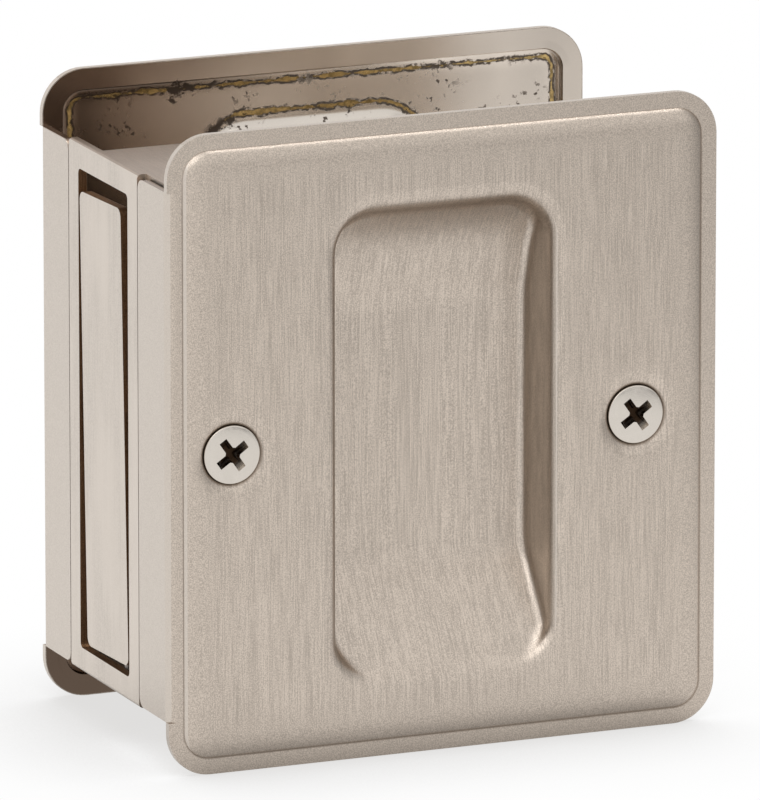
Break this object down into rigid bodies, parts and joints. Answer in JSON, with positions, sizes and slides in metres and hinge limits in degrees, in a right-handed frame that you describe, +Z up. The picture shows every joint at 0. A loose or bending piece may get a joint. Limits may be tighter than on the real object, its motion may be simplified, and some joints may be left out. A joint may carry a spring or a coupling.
{
  "type": "pocket door pull",
  "caption": "Pocket door pull that straddles the door's edge: paired stamped plates with scooped finger cups and a sprung edge lever between them.",
  "frame": {"origin": "midway between the two plates and between their upright edges, level with the plates' lower edges", "axes": "+X into the door from its edge, +Y through the door from the screw side to the barrel-nut side, +Z up"},
  "size_m": [0.0636, 0.0382, 0.0698],
  "materials": {
    "plate": "satin nickel plate, fine upright brush lines, corroded on the inner faces",
    "case": "satin nickel plate with raw cut edges in the slot",
    "pull": "satin nickel plate, fine upright brush lines, raw cut edges",
    "spring": "drawn spring wire",
    "fastener": "polished nickel plate"
  },
  "bodies": {
    "pull_frame": {"front_plate": "plate", "rear_plate": "plate", "edge_case": "case", "return_spring": "spring", "barrel_nuts": "fastener", "plate_screws": "fastener"},
    "pull_lever": {"edge_pull": "pull"}
  },
  "joints": [
    {"name": "edge_pull_swing", "type": "hinge", "parent": "pull_frame", "child": "pull_lever", "pos_m": [-0.02455, 0, 0.03492], "axis": [0, 1, 0], "range_deg": [0, 25], "stiffness_Nm_per_rad": 0.05, "springref_deg": -17.19, "deforming": ["return_spring"]}
  ]
}
